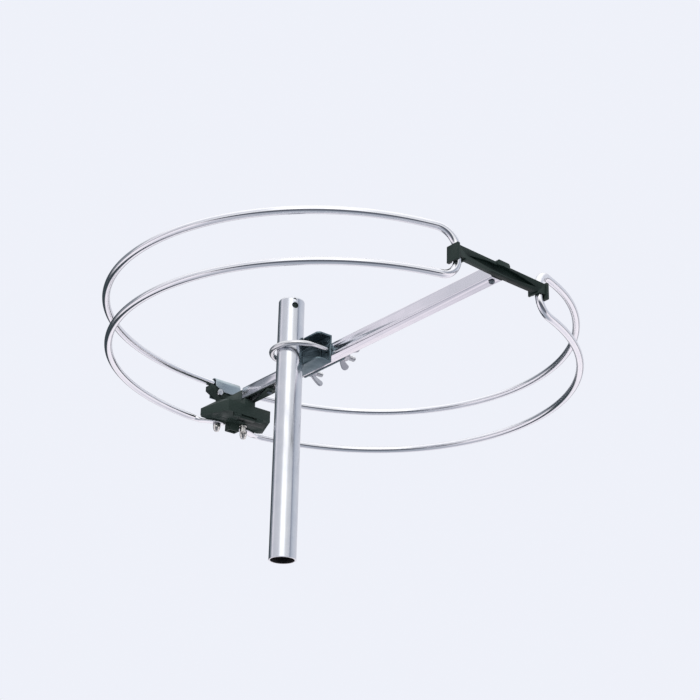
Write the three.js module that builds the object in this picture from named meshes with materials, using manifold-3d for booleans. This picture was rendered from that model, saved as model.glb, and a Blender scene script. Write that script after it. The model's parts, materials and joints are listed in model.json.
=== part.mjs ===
// Ring-shaped folded dipole for broadcast radio on a short tubular mast.
// Millimetres, +Z up. The origin is the centre of the mast's foot, and +X runs along the boom
// towards the open gap of the ring.
import * as THREE from 'three';
import { mergeVertices } from 'three/addons/utils/BufferGeometryUtils.js';
import Module from 'manifold-3d';

const wasm = await Module();
wasm.setup();

// ---------------------------------------------------------------- driving dimensions
const GAP = 0.3; // clearance left between neighbouring pieces

const MAST = { radius: 14.3, wall: 1.8, length: 295, lip: 3, holeAngle: -20 };
const BOOM_HEIGHT = 235; // boom axis above the mast foot
const MAST_TO_BOOM = 38.3; // mast axis to boom axis, along +Y
const MAST_TO_RING = 52.4; // mast axis to ring centre, along +X

// Everything below is measured in the head frame: ring centre, on the boom axis.
const BOOM = { size: 15, wall: 1.3, far: -185, near: 227.4 };
const TUBE_RADIUS = 4;
const UPPER = { mean: 250, shift: 0.001, oval: 0.057, skew: 0.008, square: 0.004, z: 24.6, bend: 22 };
const LOWER = { mean: 246, shift: 0.006, oval: 0.046, skew: 0.007, square: 0.003, z: -27.4, bend: 19 };
const DENT = { depth: 5.5, angle: 35, width: 45 }; // the upper conductor is drawn in beside the gap,
const DROOP = { depth: 3, angle: 18, width: 12 }; // droops a little there,
const PINCH = { depth: 0.04, angle: 0, width: 30 }; // and both conductors close up towards the gap
const HAIRPIN = { x: 230.5, y: 55 };

const BRACKET = { half: 34.4, height: 32, sheet: 2, front: -26.5, vAngle: 60, teeth: 4 };
const U_BOLT = { radius: 3, spread: 28.8, bendY: -27.1, end: 29 };
const WASHER = { outer: 6.2, bore: 3.4, thick: 1.4 };
const WING_NUT = { hub: 5.6, bore: 3.3, height: 7.5, reach: 16.2, rise: 16, blade: 2.4 };

const BOX = { front: -179, rear: -218.5, frontHalf: 29.5, rearHalf: 44.3, corner: 4, floor: -28.4 };
const ROOF = { front: -14.8, eave: -20.4, ridge: 0.6, ridgeHalf: 16 };
const BOX_WALL = 1.8;
const COVER = { front: -183.5, rear: -202.5, thick: 1.8, axisX: -182, drop: 2.1 };
const CRADLE = { front: -227, back: -238, top: 20.4, shoulder: 14.4, half: 24 };
const TERMINAL = { x: -217.3, spread: 19, bolt: 2.4 };
const FLAT = { low: -31.4, high: -28.7, half: 4.5 }; // flattened ends of the lower conductor
const SOCKET = { x: -207.8, y: 11.6, radius: 3.6 };
const UPPER_SEAT = TUBE_RADIUS + GAP; // cradle groove under the upper conductor
const STRAP = { half: 17.5, sheet: 1.2, centre: -232.5, inner: 5.8, low: 8, bolt: 11.8, boltZ: 12.8 };
const FLAP = { low: 14.4, flat: 5, shoulder: 19.6 }; // short front leg of the strap

const MAST_X = -MAST_TO_RING;
const MAST_Y = -MAST_TO_BOOM;
const HALF = BOOM.size / 2;

// ---------------------------------------------------------------- finishes
const finish = (color, roughness, metalness) =>
  new THREE.MeshStandardMaterial({ color, roughness, metalness });
const finishes = {
  galvanised: () => finish(0xb9bdc4, 0.35, 0.9),
  polished: () => finish(0xe4e6ea, 0.15, 1),
  satin: () => finish(0xc9c6d2, 0.4, 0.9),
  zinc: () => finish(0xc2c6c6, 0.3, 1),
  darkZinc: () => finish(0x46555a, 0.45, 0.8),
  plastic: () => finish(0x171c1c, 0.55, 0),
  nickel: () => finish(0xd8d4c8, 0.25, 1),
  board: () => finish(0x2d5a3a, 0.6, 0),
  ferrite: () => finish(0x3a3836, 0.7, 0),
  copper: () => finish(0xb5652e, 0.35, 1),
  white: () => finish(0xe9e6dc, 0.5, 0),
};

// ---------------------------------------------------------------- solids
function solidOf(geometry) {
  const bare = geometry.clone();
  bare.deleteAttribute('normal');
  bare.deleteAttribute('uv');
  const merged = mergeVertices(bare, 1e-4);
  const vertProperties = new Float32Array(merged.attributes.position.array);
  const triVerts = new Uint32Array(merged.index.array);
  return new wasm.Manifold(new wasm.Mesh({ numProp: 3, vertProperties, triVerts }));
}

function geometryOf(solid) {
  const mesh = solid.getMesh();
  const geometry = new THREE.BufferGeometry();
  geometry.setAttribute('position', new THREE.BufferAttribute(mesh.vertProperties, 3));
  geometry.setIndex(new THREE.BufferAttribute(mesh.triVerts, 1));
  geometry.computeVertexNormals();
  return geometry;
}

// A box between [low, high] on each axis.
function block([x0, x1], [y0, y1], [z0, z1]) {
  const shape = new THREE.BoxGeometry(x1 - x0, y1 - y0, z1 - z0);
  return solidOf(shape.translate((x0 + x1) / 2, (y0 + y1) / 2, (z0 + z1) / 2));
}

// Turns a shape built along +Z so that it lies along +X or +Y instead.
function alongAxis(geometry, axis) {
  if (axis === 'x') geometry.rotateY(Math.PI / 2);
  if (axis === 'y') geometry.rotateX(-Math.PI / 2);
  return geometry;
}

// A round bar along an axis, centred on `at`, between two positions on that axis.
function rod(axis, radius, at, [from, to], sides = 24) {
  const shape = new THREE.CylinderGeometry(radius, radius, to - from, sides);
  shape.rotateX(Math.PI / 2);
  alongAxis(shape, axis);
  const middle = (from + to) / 2;
  const offset = { x: [middle, at[0], at[1]], y: [at[0], middle, at[1]], z: [at[0], at[1], middle] };
  return solidOf(shape.translate(...offset[axis]));
}

// A turned piece: `profile` holds [radius, height] pairs that start and end on the axis.
function turned(profile, axis, at, sides = 24) {
  const points = profile.map(([radius, height]) => new THREE.Vector2(radius, height));
  const shape = new THREE.LatheGeometry(points, sides);
  shape.rotateX(Math.PI / 2);
  alongAxis(shape, axis);
  return solidOf(shape.translate(...at));
}

// An outline in the XY plane raised from z0 to z1.
function raised(outline, [z0, z1], curveSegments = 8) {
  const shape = outline instanceof THREE.Shape ? outline : new THREE.Shape(vectors(outline));
  const settings = { depth: z1 - z0, bevelEnabled: false, curveSegments };
  return solidOf(new THREE.ExtrudeGeometry(shape, settings).translate(0, 0, z0));
}

// An outline in the YZ plane carried from x0 to x1.
function carried(outline, [x0, x1], curveSegments = 8) {
  const shape = outline instanceof THREE.Shape ? outline : new THREE.Shape(vectors(outline));
  const settings = { depth: x1 - x0, bevelEnabled: false, curveSegments };
  const geometry = new THREE.ExtrudeGeometry(shape, settings);
  geometry.rotateZ(Math.PI / 2).rotateY(Math.PI / 2);
  return solidOf(geometry.translate(x0, 0, 0));
}

function vectors(pairs) {
  return pairs.map(([x, y]) => new THREE.Vector2(x, y));
}

// A square section with rounded corners.
function roundedSquare(size, corner) {
  const h = size / 2;
  const shape = new THREE.Shape();
  shape.moveTo(h, corner - h);
  shape.lineTo(h, h - corner);
  shape.absarc(h - corner, h - corner, corner, 0, Math.PI / 2);
  shape.lineTo(corner - h, h);
  shape.absarc(corner - h, h - corner, corner, Math.PI / 2, Math.PI);
  shape.lineTo(-h, corner - h);
  shape.absarc(corner - h, corner - h, corner, Math.PI, Math.PI * 1.5);
  shape.lineTo(h - corner, -h);
  shape.absarc(h - corner, corner - h, corner, Math.PI * 1.5, Math.PI * 2);
  return shape;
}

// A smooth route stepped evenly between its points, so a tight bend is as fine as a long arc.
class Route extends THREE.CatmullRomCurve3 {
  getPointAt(u, target) {
    return this.getPoint(u, target);
  }

  getTangentAt(u, target) {
    return this.getTangent(u, target);
  }
}

// A round wire or tube along a list of points, with `fine` steps from each point to the next.
function bent(points, radius, sides, fine) {
  const section = new THREE.Shape();
  section.absarc(0, 0, radius, 0, Math.PI * 2);
  const extrudePath = new Route(points, false, 'centripetal');
  const steps = (points.length - 1) * fine;
  const settings = { steps, extrudePath, bevelEnabled: false, curveSegments: sides };
  return solidOf(new THREE.ExtrudeGeometry(section, settings));
}

const unite = (first, ...rest) => rest.reduce((sum, piece) => sum.add(piece), first);
const carve = (first, ...rest) => rest.reduce((sum, piece) => sum.subtract(piece), first);

// ---------------------------------------------------------------- assembly
const antenna = new THREE.Group();
const head = new THREE.Group();
head.position.set(MAST_TO_RING, MAST_TO_BOOM, BOOM_HEIGHT);
antenna.add(head);

function addTo(group, name, solid, finishName) {
  const mesh = new THREE.Mesh(geometryOf(solid), finishes[finishName]());
  mesh.name = name;
  group.add(mesh);
}

// ---------------------------------------------------------------- mast
// Thin-walled tube with its top edge rolled over, and two drilled holes near the top.
function mastTube() {
  const { radius, wall, length, lip, holeAngle } = MAST;
  const inner = radius - wall;
  const outline = [[inner, 0], [radius, 0], [radius, length - lip]];
  for (let step = 1; step <= 4; step += 1) {
    const turn = (step / 4) * (Math.PI / 2) * 0.8;
    outline.push([radius - lip * (1 - Math.cos(turn)), length - lip + lip * Math.sin(turn)]);
  }
  const [edge, crown] = outline.at(-1);
  outline.push([edge - 1.4, crown - 0.9], [inner, length - lip - 1], [inner, 0]);
  const shell = turned(outline, 'z', [0, 0, 0], 48);
  const crossHole = rod('x', 3.6, [0, 0], [0, radius + 2], 20).translate([0, 0, length - 11]);
  const smallHole = rod('x', 1.9, [0, 0], [0, radius + 2], 14).translate([0, 0, length - 4.2]);
  const holes = unite(crossHole, smallHole.rotate([0, 0, -3])).rotate([0, 0, holeAngle]);
  return carve(shell, holes);
}
addTo(antenna, 'mast_tube', mastTube(), 'galvanised');

// Push-in plug behind the drilled holes, a cup that is open downwards.
const PLUG = { low: 276, high: 290.4, wall: 1.6 };

function mastPlug() {
  const outer = MAST.radius - MAST.wall - GAP;
  const inner = outer - PLUG.wall;
  const profile = [[0, PLUG.high - PLUG.wall], [inner, PLUG.high - PLUG.wall], [inner, PLUG.low],
    [outer, PLUG.low], [outer, PLUG.high - 1], [outer - 1, PLUG.high], [0, PLUG.high]];
  return turned(profile, 'z', [0, 0, 0], 48);
}
addTo(antenna, 'mast_plug', mastPlug(), 'plastic');

// ---------------------------------------------------------------- boom
// Square tube, drilled for the clamp's two legs and for the screws at its ends.
const legX = [MAST_X + U_BOLT.spread, MAST_X - U_BOLT.spread];
const SCREW = { near: 220.5, tongue: -141, radius: 1.8 };

function boomTube() {
  const ends = [BOOM.far, BOOM.near];
  const outer = carried(roundedSquare(BOOM.size, 1.6), ends, 4);
  const inner = carried(roundedSquare(BOOM.size - 2 * BOOM.wall, 0.6), [ends[0] - 1, ends[1] + 1], 2);
  const legHoles = legX.map((x) => rod('y', 3.5, [x, 0], [-HALF - 1, HALF + 1], 20));
  const screwHoles = [SCREW.near, SCREW.tongue].map((x) => rod('z', 2.2, [x, 0], [-HALF - 1, 0], 14));
  return carve(outer, inner, ...legHoles, ...screwHoles);
}
addTo(head, 'boom_tube', boomTube(), 'satin');

// ---------------------------------------------------------------- folded dipole
// A local departure from the true curve, greatest at its own angle round the ring.
function swell({ depth, angle, width }, t) {
  const offset = THREE.MathUtils.radToDeg(Math.atan2(Math.sin(t), Math.cos(t))) - angle;
  return depth * Math.exp(-((offset / width) ** 2));
}

// Angle t is measured from the gap; the ring is slightly oval across the boom.
function ringPoint(conductor, t) {
  const { mean, shift, oval, skew, square, z } = conductor;
  const even = oval * Math.cos(2 * t) + square * Math.cos(4 * t);
  const upper = conductor === UPPER ? 1 : 0;
  const r = mean * (1 + shift * Math.cos(t) + skew * Math.cos(3 * t) - even) - upper * swell(DENT, t);
  const height = z * (1 - swell(PINCH, t)) - upper * swell(DROOP, t);
  return new THREE.Vector3(r * Math.cos(t), r * Math.sin(t), height);
}

// Angle at which a conductor reaches a sideways distance y, near the gap or near the feed.
function angleAt(conductor, y, nearGap) {
  let t = nearGap ? 0.2 * Math.sign(y) : Math.PI;
  for (let pass = 0; pass < 30; pass += 1) {
    const error = ringPoint(conductor, t).y - y;
    t += (nearGap ? -1 : 1) * (error / conductor.mean);
  }
  return t;
}

// Angle at which a conductor leaves the ring's curve for its bend beside the gap.
const bendStart = (conductor, side) => angleAt(conductor, side * (HAIRPIN.y + conductor.bend), true);

// Quarter bends that join the two conductors beside the gap.
function hairpin(side) {
  const points = [];
  for (const [conductor, sense] of [[LOWER, 1], [UPPER, -1]]) {
    const start = ringPoint(conductor, bendStart(conductor, side));
    const bend = [];
    for (let step = 1; step <= 8; step += 1) {
      const turn = (step / 8) * (Math.PI / 2);
      const along = Math.sin(turn);
      const x = start.x + (HAIRPIN.x - start.x) * along;
      const rise = sense * conductor.bend * (1 - Math.cos(turn));
      bend.push(new THREE.Vector3(x, start.y - side * conductor.bend * along, start.z + rise));
    }
    points.push(...(sense > 0 ? bend : bend.reverse()));
  }
  return points;
}

function arc(conductor, from, to, count) {
  const points = [];
  for (let step = 0; step <= count; step += 1) {
    points.push(ringPoint(conductor, from + ((to - from) * step) / count));
  }
  return points;
}

const ROUND_END = 44; // sideways distance at which the lower conductor starts to flatten

function dipoleRoute() {
  const full = 2 * Math.PI;
  const right = angleAt(LOWER, ROUND_END, false);
  const left = angleAt(LOWER, -ROUND_END, false) - full;
  return [
    ...arc(LOWER, right, bendStart(LOWER, 1), 34),
    ...hairpin(1),
    ...arc(UPPER, bendStart(UPPER, 1), full + bendStart(UPPER, -1), 74),
    ...hairpin(-1).reverse(),
    ...arc(LOWER, bendStart(LOWER, -1), left, 34),
  ];
}

// Flattened end: the tube tapers into a flat strip that turns in under the feed box.
function flatEnd(side) {
  const start = ringPoint(LOWER, angleAt(LOWER, side * ROUND_END, false));
  const run = [[-224.2, 37], [-219.6, 29], [TERMINAL.x, 23], [TERMINAL.x, 13.5]];
  const discs = run.map(([x, y]) => rod('z', FLAT.half, [x, side * y], [FLAT.low, FLAT.high], 20));
  const ball = new THREE.SphereGeometry(TUBE_RADIUS, 20, 12).translate(start.x, start.y, start.z);
  const links = [wasm.Manifold.hull([solidOf(ball), discs[0]])];
  for (let step = 1; step < discs.length; step += 1) {
    links.push(wasm.Manifold.hull([discs[step - 1], discs[step]]));
  }
  const hole = rod('z', TERMINAL.bolt + GAP, [TERMINAL.x, side * TERMINAL.spread], [-40, -20], 16);
  return carve(unite(...links), hole);
}

function foldedDipole() {
  return unite(bent(dipoleRoute(), TUBE_RADIUS, 8, 1), flatEnd(-1), flatEnd(1));
}
addTo(head, 'folded_dipole', foldedDipole(), 'polished');

// ---------------------------------------------------------------- gap insulator
// Moulded bar with a snap-on clip at each end and a spigot that fills the boom's end.
const BAR = { back: 229.5, front: 236.2, low: -7.9, high: 4.4, belly: 0.8, twist: -1.4 };
const CLIP = { back: 223, front: 238, inner: 47.5, outer: 61.5, flange: 3, low: -12, lug: -8.4, top: 5.6 };
const SEAT = { radius: TUBE_RADIUS + GAP + 0.1, slack: 0.9, mouth: 3.3 }; // clip groove for a hairpin
const LENS = { half: 46, tip: -3, rise: 5, drop: 3.2, depth: 3.4 }; // recess along the bar's front face
const BOSS = { half: 8.4, topHalf: 6.8, top: 7.3 };
const LIP = { reach: 212, top: HALF + 2.1 }; // tongue over the boom's top face

// A box that is repeated on both sides of the boom, between two sideways distances.
const mirrored = (side, near, far) => [side * near, side * far].sort((a, b) => a - b);

// The bar seen from the front: straight along the top, slightly full along the bottom.
function barOutline() {
  const shape = new THREE.Shape();
  shape.moveTo(-CLIP.inner, BAR.low + BAR.belly);
  shape.quadraticCurveTo(0, BAR.low - BAR.belly, CLIP.inner, BAR.low + BAR.belly);
  shape.lineTo(CLIP.inner, BAR.high);
  shape.lineTo(-CLIP.inner, BAR.high);
  return shape;
}

function lensOutline() {
  const { half, tip, rise, drop } = LENS;
  const shape = new THREE.Shape();
  shape.moveTo(-half, tip);
  shape.quadraticCurveTo(0, tip - 2 * drop, half, tip);
  shape.quadraticCurveTo(0, tip + 2 * rise, -half, tip);
  return shape;
}

// Inner cheek, body and proud outer flange of the clip at one end of the bar.
function clip(side) {
  const { back, front, inner, outer, flange, low, lug, top } = CLIP;
  return unite(
    block([back, BAR.front], mirrored(side, inner, inner + 2), [lug, BAR.high]),
    block([back + 2, BAR.front], mirrored(side, inner, outer - 1), [BAR.low + BAR.belly, BAR.high]),
    block([back, front], mirrored(side, outer - flange, outer), [low, top]),
  );
}

function gapInsulator() {
  const { back, front, high } = BAR;
  const bore = HALF - BOOM.wall - GAP;
  const boss = [[-BOSS.half, 0], [BOSS.half, 0], [BOSS.half, high + 1], [BOSS.topHalf, BOSS.top],
    [-BOSS.topHalf, BOSS.top], [-BOSS.half, high + 1]];
  const bar = carried(barOutline(), [back, front], 16);
  const bossBlock = carried(boss, [back - 2, front + 1.4]);
  const lens = carried(lensOutline(), [front - LENS.depth, front + 3], 20);
  const twisted = carve(unite(bar, bossBlock, clip(-1), clip(1)), lens).rotate([BAR.twist, 0, 0]);
  const bridge = [[LIP.reach, HALF + GAP], [back, HALF + GAP], [back + 3, 2], [back + 3, BOSS.top - 1],
    [back, LIP.top], [LIP.reach, LIP.top]];
  const across = [-BOSS.topHalf, BOSS.topHalf];
  const corners = across.flatMap((y) => bridge.map(([x, z]) => [x, y, z]));
  const spigot = block([194, back + 1], [-bore, bore], [-bore, bore]);
  let moulding = unite(twisted, wasm.Manifold.hull(corners), spigot);
  const boomEnd = carve(
    block([190, BOOM.near + GAP], [-HALF - GAP, HALF + GAP], [-HALF - GAP, HALF + GAP]),
    block([190, 240], [-bore, bore], [-bore, bore]),
  );
  moulding = carve(moulding, boomEnd);
  for (const side of [-1, 1]) {
    const span = [CLIP.low - 5, CLIP.top + 5];
    for (const y of [HAIRPIN.y, HAIRPIN.y + SEAT.slack]) {
      moulding = carve(moulding, rod('z', SEAT.radius, [HAIRPIN.x, side * y], span, 24));
    }
    const mouth = mirrored(side, HAIRPIN.y - SEAT.mouth, HAIRPIN.y + SEAT.mouth);
    moulding = carve(moulding, block([CLIP.back - 1, HAIRPIN.x], mouth, span));
  }
  return carve(moulding, rod('z', SCREW.radius + GAP, [SCREW.near, 0], [-HALF - 2, 4], 14));
}
addTo(head, 'gap_insulator', gapInsulator(), 'plastic');

// Pan-head screw driven upwards through the boom's underside.
function panScrew(x, y, top, seat) {
  const headProfile = [[0, -2.5], [1.9, -2.3], [2.8, -1.4], [3.1, 0], [0, 0]];
  const screwHead = turned(headProfile, 'z', [x, y, seat], 20);
  const shank = rod('z', SCREW.radius, [x, y], [seat - 1, top], 14);
  const recess = unite(
    block([x - 1.6, x + 1.6], [y - 0.35, y + 0.35], [seat - 4, seat - 1.4]),
    block([x - 0.35, x + 0.35], [y - 1.6, y + 1.6], [seat - 4, seat - 1.4]),
  );
  return carve(screwHead.add(shank), recess);
}
addTo(head, 'insulator_screw', panScrew(SCREW.near, 0, 3, -HALF - GAP), 'darkZinc');

// ---------------------------------------------------------------- mast clamp
// Channel bracket whose two flanges carry a toothed V that bites the mast.
function flangeOutline() {
  const { half, front, vAngle, teeth } = BRACKET;
  const angle = THREE.MathUtils.degToRad(vAngle);
  const apex = MAST_Y + (MAST.radius + GAP) / Math.sin(angle);
  const depth = apex - front;
  const outline = [[MAST_X - half, -HALF - GAP], [MAST_X - half, front + 3], [MAST_X - half + 3, front]];
  const flank = [];
  for (let tooth = 0; tooth <= teeth; tooth += 1) {
    const share = 1 - tooth / teeth;
    flank.push([depth * Math.tan(angle) * share, apex - depth * share]);
    if (tooth < teeth) {
      const valley = share - 0.5 / teeth;
      flank.push([depth * Math.tan(angle) * valley + 0.5, apex - depth * valley + 0.9]);
    }
  }
  for (const [x, y] of flank) outline.push([MAST_X - x, y]);
  for (const [x, y] of flank.slice(0, -1).reverse()) outline.push([MAST_X + x, y]);
  outline.push([MAST_X + half - 3, front], [MAST_X + half, front + 3], [MAST_X + half, -HALF - GAP]);
  return outline;
}

function toothedBracket() {
  const { half, height, sheet } = BRACKET;
  const top = height / 2;
  const back = -HALF - GAP;
  const upper = raised(flangeOutline(), [top - sheet, top]);
  const lower = raised(flangeOutline(), [-top, sheet - top]);
  const web = block([MAST_X - half, MAST_X + half], [back - sheet, back], [-top, top]);
  const cuts = [];
  for (const side of [-1, 1]) {
    const leg = MAST_X + side * U_BOLT.spread;
    cuts.push(rod('y', 3.5, [leg, 0], [back - sheet - 1, back + 1], 20));
    for (const z of [-10.2, 10.2]) {
      cuts.push(rod('y', 1.4, [leg + side * 1.2, z], [back - sheet - 1, back + 1], 12));
    }
    const slot = MAST_X + side * 18.4;
    cuts.push(block([slot - 0.9, slot + 0.9], [back - sheet - 1, back + 1], [-3.4, 3.4]));
  }
  return carve(unite(upper, lower, web), ...cuts);
}
addTo(head, 'toothed_bracket', toothedBracket(), 'darkZinc');

const PLATE_BACK = HALF + GAP;
const PLATE_SHEET = 2;

function backingPlate() {
  const span = [MAST_X - BRACKET.half, MAST_X + BRACKET.half];
  const plate = block(span, [PLATE_BACK, PLATE_BACK + PLATE_SHEET], [-HALF, HALF]);
  return carve(plate, ...legX.map((x) => rod('y', 3.5, [x, 0], [PLATE_BACK - 1, PLATE_BACK + 4], 20)));
}
addTo(head, 'backing_plate', backingPlate(), 'darkZinc');

function uBolt() {
  const { radius, spread, bendY, end } = U_BOLT;
  const points = [new THREE.Vector3(MAST_X + spread, end, 0)];
  for (const y of [10, -8, -22]) points.push(new THREE.Vector3(MAST_X + spread, y, 0));
  for (let step = 0; step <= 20; step += 1) {
    const turn = (step / 20) * Math.PI;
    const x = MAST_X + spread * Math.cos(turn);
    points.push(new THREE.Vector3(x, bendY - spread * Math.sin(turn), 0));
  }
  for (const y of [-22, -8, 10, end]) points.push(new THREE.Vector3(MAST_X - spread, y, 0));
  return bent(points, radius, 10, 1);
}
addTo(head, 'u_bolt', uBolt(), 'zinc');

const WASHER_Y = PLATE_BACK + PLATE_SHEET + GAP;
const NUT_Y = WASHER_Y + WASHER.thick + GAP;

function flatWasher(x) {
  const face = [WASHER_Y, WASHER_Y + WASHER.thick];
  const disc = rod('y', WASHER.outer, [x, 0], face, 28);
  return carve(disc, rod('y', WASHER.bore, [x, 0], [face[0] - 1, face[1] + 1], 20));
}

// One wing of a wing nut: radial distance across, height above the nut's base up.
function wingOutline() {
  const { reach, rise, height } = WING_NUT;
  const shape = new THREE.Shape();
  shape.moveTo(4, 0.6);
  shape.lineTo(6.4, 0.8);
  shape.quadraticCurveTo(10, 2.4, reach - 0.6, rise - 6.5);
  shape.absarc(reach - 4.2, rise - 4.1, 4.1, -0.55, Math.PI * 0.72);
  shape.quadraticCurveTo(7.5, height + 3, 6, height);
  shape.lineTo(4, height);
  return shape;
}

function wingNut(x, degrees) {
  const { hub, bore, height, blade } = WING_NUT;
  const hubProfile = [[0, 0], [hub + 0.8, 0], [hub + 0.8, 1.4], [hub, 3], [hub - 0.8, height], [0, height]];
  let nut = turned(hubProfile, 'z', [0, 0, 0], 24);
  const settings = { depth: blade, bevelEnabled: false, curveSegments: 8 };
  for (const half of [0, Math.PI]) {
    const wing = new THREE.ExtrudeGeometry(wingOutline(), settings);
    wing.translate(0, 0, -blade / 2).rotateX(Math.PI / 2).rotateZ(half);
    nut = nut.add(solidOf(wing));
  }
  nut = carve(nut, rod('z', bore, [0, 0], [-1, height + 1], 20));
  return nut.rotate([0, 0, degrees]).rotate([-90, 0, 0]).translate([x, NUT_Y, 0]);
}

addTo(head, 'washer_near', flatWasher(legX[0]), 'zinc');
addTo(head, 'washer_far', flatWasher(legX[1]), 'zinc');
addTo(head, 'wing_nut_near', wingNut(legX[0], -38), 'zinc');
addTo(head, 'wing_nut_far', wingNut(legX[1], -102), 'zinc');

// ---------------------------------------------------------------- feed box
const SIDE_SLOPE = (BOX.rearHalf - BOX.frontHalf) / (BOX.front - BOX.rear - BOX.corner);
const halfAt = (x) => BOX.frontHalf + SIDE_SLOPE * (BOX.front - x);

// The box seen from above is a trapezoid, wider towards the ring, with clipped rear corners.
function boxPlan(inset) {
  const { front, rear, frontHalf, rearHalf, corner } = BOX;
  const half = [
    [front - inset, frontHalf - inset],
    [rear + corner + inset, rearHalf - inset],
    [rear + inset, rearHalf - corner - inset],
  ];
  return [...half, ...half.map(([x, y]) => [x, -y])];
}

// Low eaves all round, rising to a short ridge over the middle of the rear wall.
function boxForm(inset) {
  const plan = boxPlan(inset);
  const points = plan.map(([x, y]) => [x, y, BOX.floor + inset]);
  for (const [x, y] of plan) {
    const share = (BOX.front - x) / (BOX.front - BOX.rear);
    points.push([x, y, ROOF.front + (ROOF.eave - ROOF.front) * share - inset]);
  }
  for (const side of [-1, 1]) {
    points.push([BOX.rear + inset, side * (ROOF.ridgeHalf - inset), ROOF.ridge - inset]);
  }
  return wasm.Manifold.hull(points);
}

function hatchOutline(clearance) {
  const front = COVER.front + clearance;
  const rear = COVER.rear - clearance;
  const rim = 2.6 - clearance;
  return [
    [front, rim - halfAt(front)], [front, halfAt(front) - rim],
    [rear, halfAt(rear) - rim], [rear, rim - halfAt(rear)],
  ];
}

const RIB_HALF = 7.4; // central rib under and behind the boom's end
const RIB_TOP = 4.6;
const TONGUE = { top: -HALF - GAP, thick: 2.4, centre: -139, half: 6 };

// Cradle for the upper conductor, with gussets down to the central rib.
function cradle() {
  const { front, back, top, shoulder, half } = CRADLE;
  const outline = [[-half, top], [-half, shoulder], [-RIB_HALF - 1, 6.4], [-RIB_HALF, -12],
    [RIB_HALF, -12], [RIB_HALF + 1, 6.4], [half, shoulder], [half, top]];
  return carried(outline, [back, front]);
}

function centralRib() {
  const plugHalf = HALF - BOOM.wall - GAP;
  const sides = [-RIB_HALF, RIB_HALF];
  const behindBoom = block([CRADLE.front - 1, BOOM.far - GAP], sides, [-16, RIB_TOP]);
  const underBoom = block([BOOM.far - 1, BOX.front], sides, [-16, TONGUE.top]);
  const plug = block([BOOM.far - 1, BOOM.far + 24], [-plugHalf, plugHalf], [-plugHalf, RIB_TOP]);
  const strip = new THREE.Shape();
  strip.moveTo(BOX.front - 6, -TONGUE.half);
  strip.absarc(TONGUE.centre, 0, TONGUE.half, -Math.PI / 2, Math.PI / 2);
  strip.lineTo(BOX.front - 6, TONGUE.half);
  const tongue = raised(strip, [TONGUE.top - TONGUE.thick, TONGUE.top]);
  return unite(behindBoom, underBoom, plug, tongue);
}

const AXIS_Z = BOX.floor - COVER.drop;
const BOARD = { x: [-201, -185.5], half: 15, low: -23.6, high: -22.4, post: -193.5, postY: 12.6 };

function feedBoxBody() {
  const { x, spread, bolt } = TERMINAL;
  let body = unite(boxForm(0), cradle(), centralRib());
  body = carve(body, boxForm(BOX_WALL), raised(hatchOutline(GAP), [BOX.floor - 1, BOX.floor + 3]));
  const foot = block([-218.2, -208.6], [-6.8, 6.8], [BOX.floor - 9, BOX.floor + 1]);
  body = body.add(foot.subtract(block([-216.6, -210.2], [-5.2, 5.2], [BOX.floor - 10, BOX.floor - 1])));
  for (const side of [-1, 1]) {
    const y = side * spread;
    body = body.add(rod('z', 5.6, [x, y], [BOX.floor, BOX.floor + 5], 28));
    body = carve(
      body,
      rod('z', bolt + GAP, [x, y], [BOX.floor - 2, BOX.floor + 8], 16),
      rod('z', 4.6, [x, y], [BOX.floor + 5, BOX.floor + 9.4], 28),
    );
    const post = rod('z', 2.6, [BOARD.post, side * BOARD.postY], [BOARD.high + GAP, -12.4], 18);
    const pilot = rod('z', 1.1, [BOARD.post, side * BOARD.postY], [BOARD.low, -16], 12);
    body = body.add(post).subtract(pilot);
    const knuckle = rod('y', 1.7, [COVER.axisX, AXIS_Z], mirrored(side, 10.8, 20), 16);
    const root = [COVER.axisX - 1.1, BOX.front - 0.3];
    body = body.add(knuckle.add(block(root, mirrored(side, 10.8, 20), [AXIS_Z, BOX.floor + 0.6])));
    body = carve(body, rod('x', 2.1, [side * STRAP.bolt, STRAP.boltZ], [-250, -220], 14));
  }
  return carve(
    body,
    rod('y', UPPER_SEAT, [-232.4, UPPER.z], [-60, 60], 32),
    rod('y', 1, [COVER.axisX, AXIS_Z], [-60, 60], 12),
    rod('z', SOCKET.radius + GAP, [SOCKET.x, SOCKET.y], [-40, BOX.floor + 4], 20),
    rod('z', 2.1, [SCREW.tongue, 0], [-20, 0], 14),
  );
}

// Hinged hatch in the floor of the box.
function feedBoxCover() {
  const { front, rear, thick, axisX } = COVER;
  const panel = raised(hatchOutline(0), [BOX.floor, BOX.floor + thick]);
  const knuckle = rod('y', 1.7, [axisX, AXIS_Z], [-10.4, 10.4], 16);
  const strap = block([front - 3, axisX], [-10.4, 10.4], [AXIS_Z - 1.5, AXIS_Z + 1.5]);
  const rise = block([front - 3, front - 0.2], [-10.4, 10.4], [AXIS_Z, BOX.floor + 0.6]);
  const grip = block([rear + 0.8, rear + 2.4], [-12, -2], [BOX.floor - 1.6, BOX.floor + 0.6]);
  const recess = block([-199, -189], [-4, 4], [BOX.floor - 1, BOX.floor + 0.8]);
  const bore = rod('y', 1, [axisX, AXIS_Z], [-12, 12], 12);
  return carve(unite(carve(panel, recess), knuckle, strap, rise, grip), bore);
}

// ---------------------------------------------------------------- upper conductor strap
// Bent sheet hooked over the upper conductor, its long rear leg held by two bolts across the cradle.
function saddleSection(radius, low) {
  const shape = new THREE.Shape();
  shape.moveTo(radius, low);
  shape.lineTo(radius, UPPER.z);
  shape.absarc(0, UPPER.z, radius, 0, Math.PI);
  shape.lineTo(-radius, low);
  return shape;
}

function acrossBoom(shape, half) {
  const settings = { depth: 2 * half, bevelEnabled: false, curveSegments: 12 };
  const geometry = new THREE.ExtrudeGeometry(shape, settings).rotateX(Math.PI / 2);
  return solidOf(geometry.translate(STRAP.centre, half, 0));
}

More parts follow.
